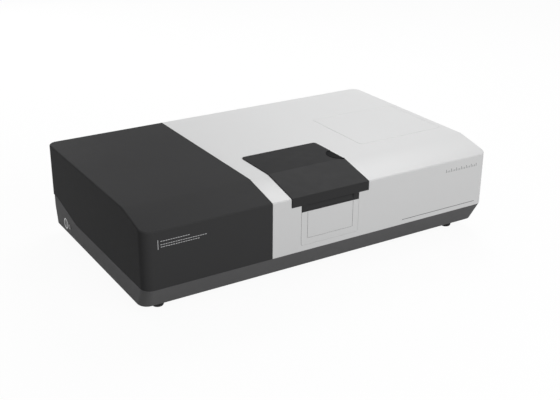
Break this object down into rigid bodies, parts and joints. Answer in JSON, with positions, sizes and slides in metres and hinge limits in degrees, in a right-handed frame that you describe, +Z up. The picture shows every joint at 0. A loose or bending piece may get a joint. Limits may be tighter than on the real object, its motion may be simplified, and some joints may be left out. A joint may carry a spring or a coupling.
{
  "type": "uv-vis-nir spectrophotometer",
  "caption": "Bench-top UV-Vis-NIR spectrophotometer with a hinged sample lid, cell holders, pull-off access panel, lift-off detector hatch, grating drive and cooling fan.",
  "frame": {"origin": "middle of the plane that the feet stand on, under the centre of the bounding box", "axes": "+X to the right of someone who faces the instrument's front, +Y to its rear, +Z up"},
  "size_m": [1.02, 0.614, 0.257],
  "materials": {
    "cover_white": "fine textured white moulding",
    "cover_black": "fine textured black moulding",
    "lid_black": "satin black moulding",
    "plug_black": "smooth black moulding",
    "base_grey": "dark grey powder coat",
    "rear_grey": "grey painted sheet",
    "rubber_black": "black rubber",
    "steel_bright": "plated steel",
    "ring_chrome": "bright plated",
    "tub_black": "matt black, kills stray light",
    "holder_black": "black anodised",
    "housing_black": "black anodised sheet",
    "bench_metal": "cast and milled",
    "frame_grey": "grey moulding",
    "window_glass": "polished silica",
    "lamp_glass": "clear silica bulb",
    "mirror_coat": "front coated mirror",
    "grating_coat": "ruled and coated",
    "motor_metal": "motor case",
    "gear_brass": "hobbed brass",
    "detector_metal": "turned case",
    "supply_metal": "folded sheet",
    "board_green": "lacquered board",
    "inlet_black": "moulded",
    "fan_black": "moulded",
    "button_black": "moulded",
    "plunger_white": "acetal"
  },
  "bodies": {
    "case": {"base_pan": "base_grey", "rear_panel": "rear_grey", "foot_front_left": "rubber_black", "foot_front_right": "rubber_black", "foot_rear_left": "rubber_black", "foot_rear_right": "rubber_black", "foot_screws": "steel_bright", "case_screws": "steel_bright", "left_cover": "cover_black", "main_cover": "cover_white", "cover_joint_strip": "rear_grey", "hatch_frame": "frame_grey", "compartment_tub": "tub_black", "beam_windows": "window_glass", "lid_seal": "rubber_black", "hinge_pin": "steel_bright", "hinge_leaf": "steel_bright", "interlock_switch": "inlet_black", "finger_scoop": "lid_black", "cell_holder_base": "holder_black", "sample_cell_holder": "holder_black", "reference_cell_holder": "holder_black", "optical_bench": "bench_metal", "bench_mounts": "rubber_black", "lamp_housing": "housing_black", "deuterium_lamp": "lamp_glass", "halogen_lamp": "lamp_glass", "source_mirror_motor": "motor_metal", "filter_motor": "motor_metal", "slit_plates": "housing_black", "concave_mirrors": "mirror_coat", "turret_motor": "motor_metal", "chopper_motor": "motor_metal", "beam_mirrors": "mirror_coat", "detector_housing": "housing_black", "photomultiplier": "detector_metal", "infrared_detector": "detector_metal", "power_supply": "supply_metal", "control_board": "board_green", "power_inlet": "inlet_black", "data_ports": "steel_bright", "fan_frame": "fan_black", "fan_guard": "ring_chrome", "switch_bezel": "ring_chrome", "fuse_holder": "inlet_black"},
    "lid": {"sample_lid": "lid_black", "lid_liner": "tub_black", "port_plug": "plug_black"},
    "access_panel": {"front_panel": "cover_white"},
    "hatch": {"detector_hatch": "cover_white"},
    "switch_button": {"power_button": "button_black"},
    "lid_plunger": {"interlock_plunger": "plunger_white"},
    "rotor": {"fan_rotor": "fan_black"},
    "filters": {"filter_wheel": "housing_black"},
    "chopper": {"chopper_wheel": "mirror_coat"},
    "lamp_mirror": {"source_mirror": "mirror_coat"},
    "turret": {"grating_turret": "bench_metal", "gratings": "grating_coat", "turret_gear": "gear_brass"},
    "pinion": {"turret_pinion": "gear_brass"}
  },
  "joints": [
    {"name": "lid_hinge", "type": "hinge", "parent": "case", "child": "lid", "pos_m": [0, -0.059, 0.254], "axis": [-1, 0, 0], "range_deg": [0, 75]},
    {"name": "access_panel_pull", "type": "slide", "parent": "case", "child": "access_panel", "axis": [0, -1, 0], "range_m": [0, 0.05]},
    {"name": "hatch_lift", "type": "slide", "parent": "case", "child": "hatch", "axis": [0, 0, 1], "range_m": [0, 0.06]},
    {"name": "button_press", "type": "slide", "parent": "case", "child": "switch_button", "axis": [1, 0, 0], "range_m": [0, 0.002], "stiffness_N_per_m": 800, "springref_m": -0.001},
    {"name": "plunger_press", "type": "slide", "parent": "case", "child": "lid_plunger", "axis": [0, 0, -1], "range_m": [0, 0.002], "stiffness_N_per_m": 150, "springref_m": -0.001},
    {"name": "fan_spin", "type": "hinge", "parent": "case", "child": "rotor", "pos_m": [-0.25, 0.273, 0.069], "axis": [0, 1, 0], "continuous": true},
    {"name": "filter_turn", "type": "hinge", "parent": "case", "child": "filters", "pos_m": [-0.438, 0.101, 0.13], "axis": [0, 1, 0], "continuous": true},
    {"name": "chopper_spin", "type": "hinge", "parent": "case", "child": "chopper", "pos_m": [-0.2, 0.135, 0.154], "axis": [0.7071, 0.7071, 0], "continuous": true},
    {"name": "lamp_mirror_turn", "type": "hinge", "parent": "case", "child": "lamp_mirror", "pos_m": [-0.41, 0.168, 0.12], "axis": [0, 0, 1], "range_deg": [-25, 25]},
    {"name": "turret_turn", "type": "hinge", "parent": "case", "child": "turret", "pos_m": [-0.34, -0.015, 0.1], "axis": [0, 0, 1], "range_deg": [-45, 225]},
    {"name": "pinion_turn", "type": "hinge", "parent": "case", "child": "pinion", "pos_m": [-0.34, 0.0451, 0.08], "axis": [0, 0, 1], "range_deg": [-680, 140]}
  ],
  "couplings": [
    {"joint": "pinion_turn", "follows": "turret_turn", "ratio": -3}
  ]
}
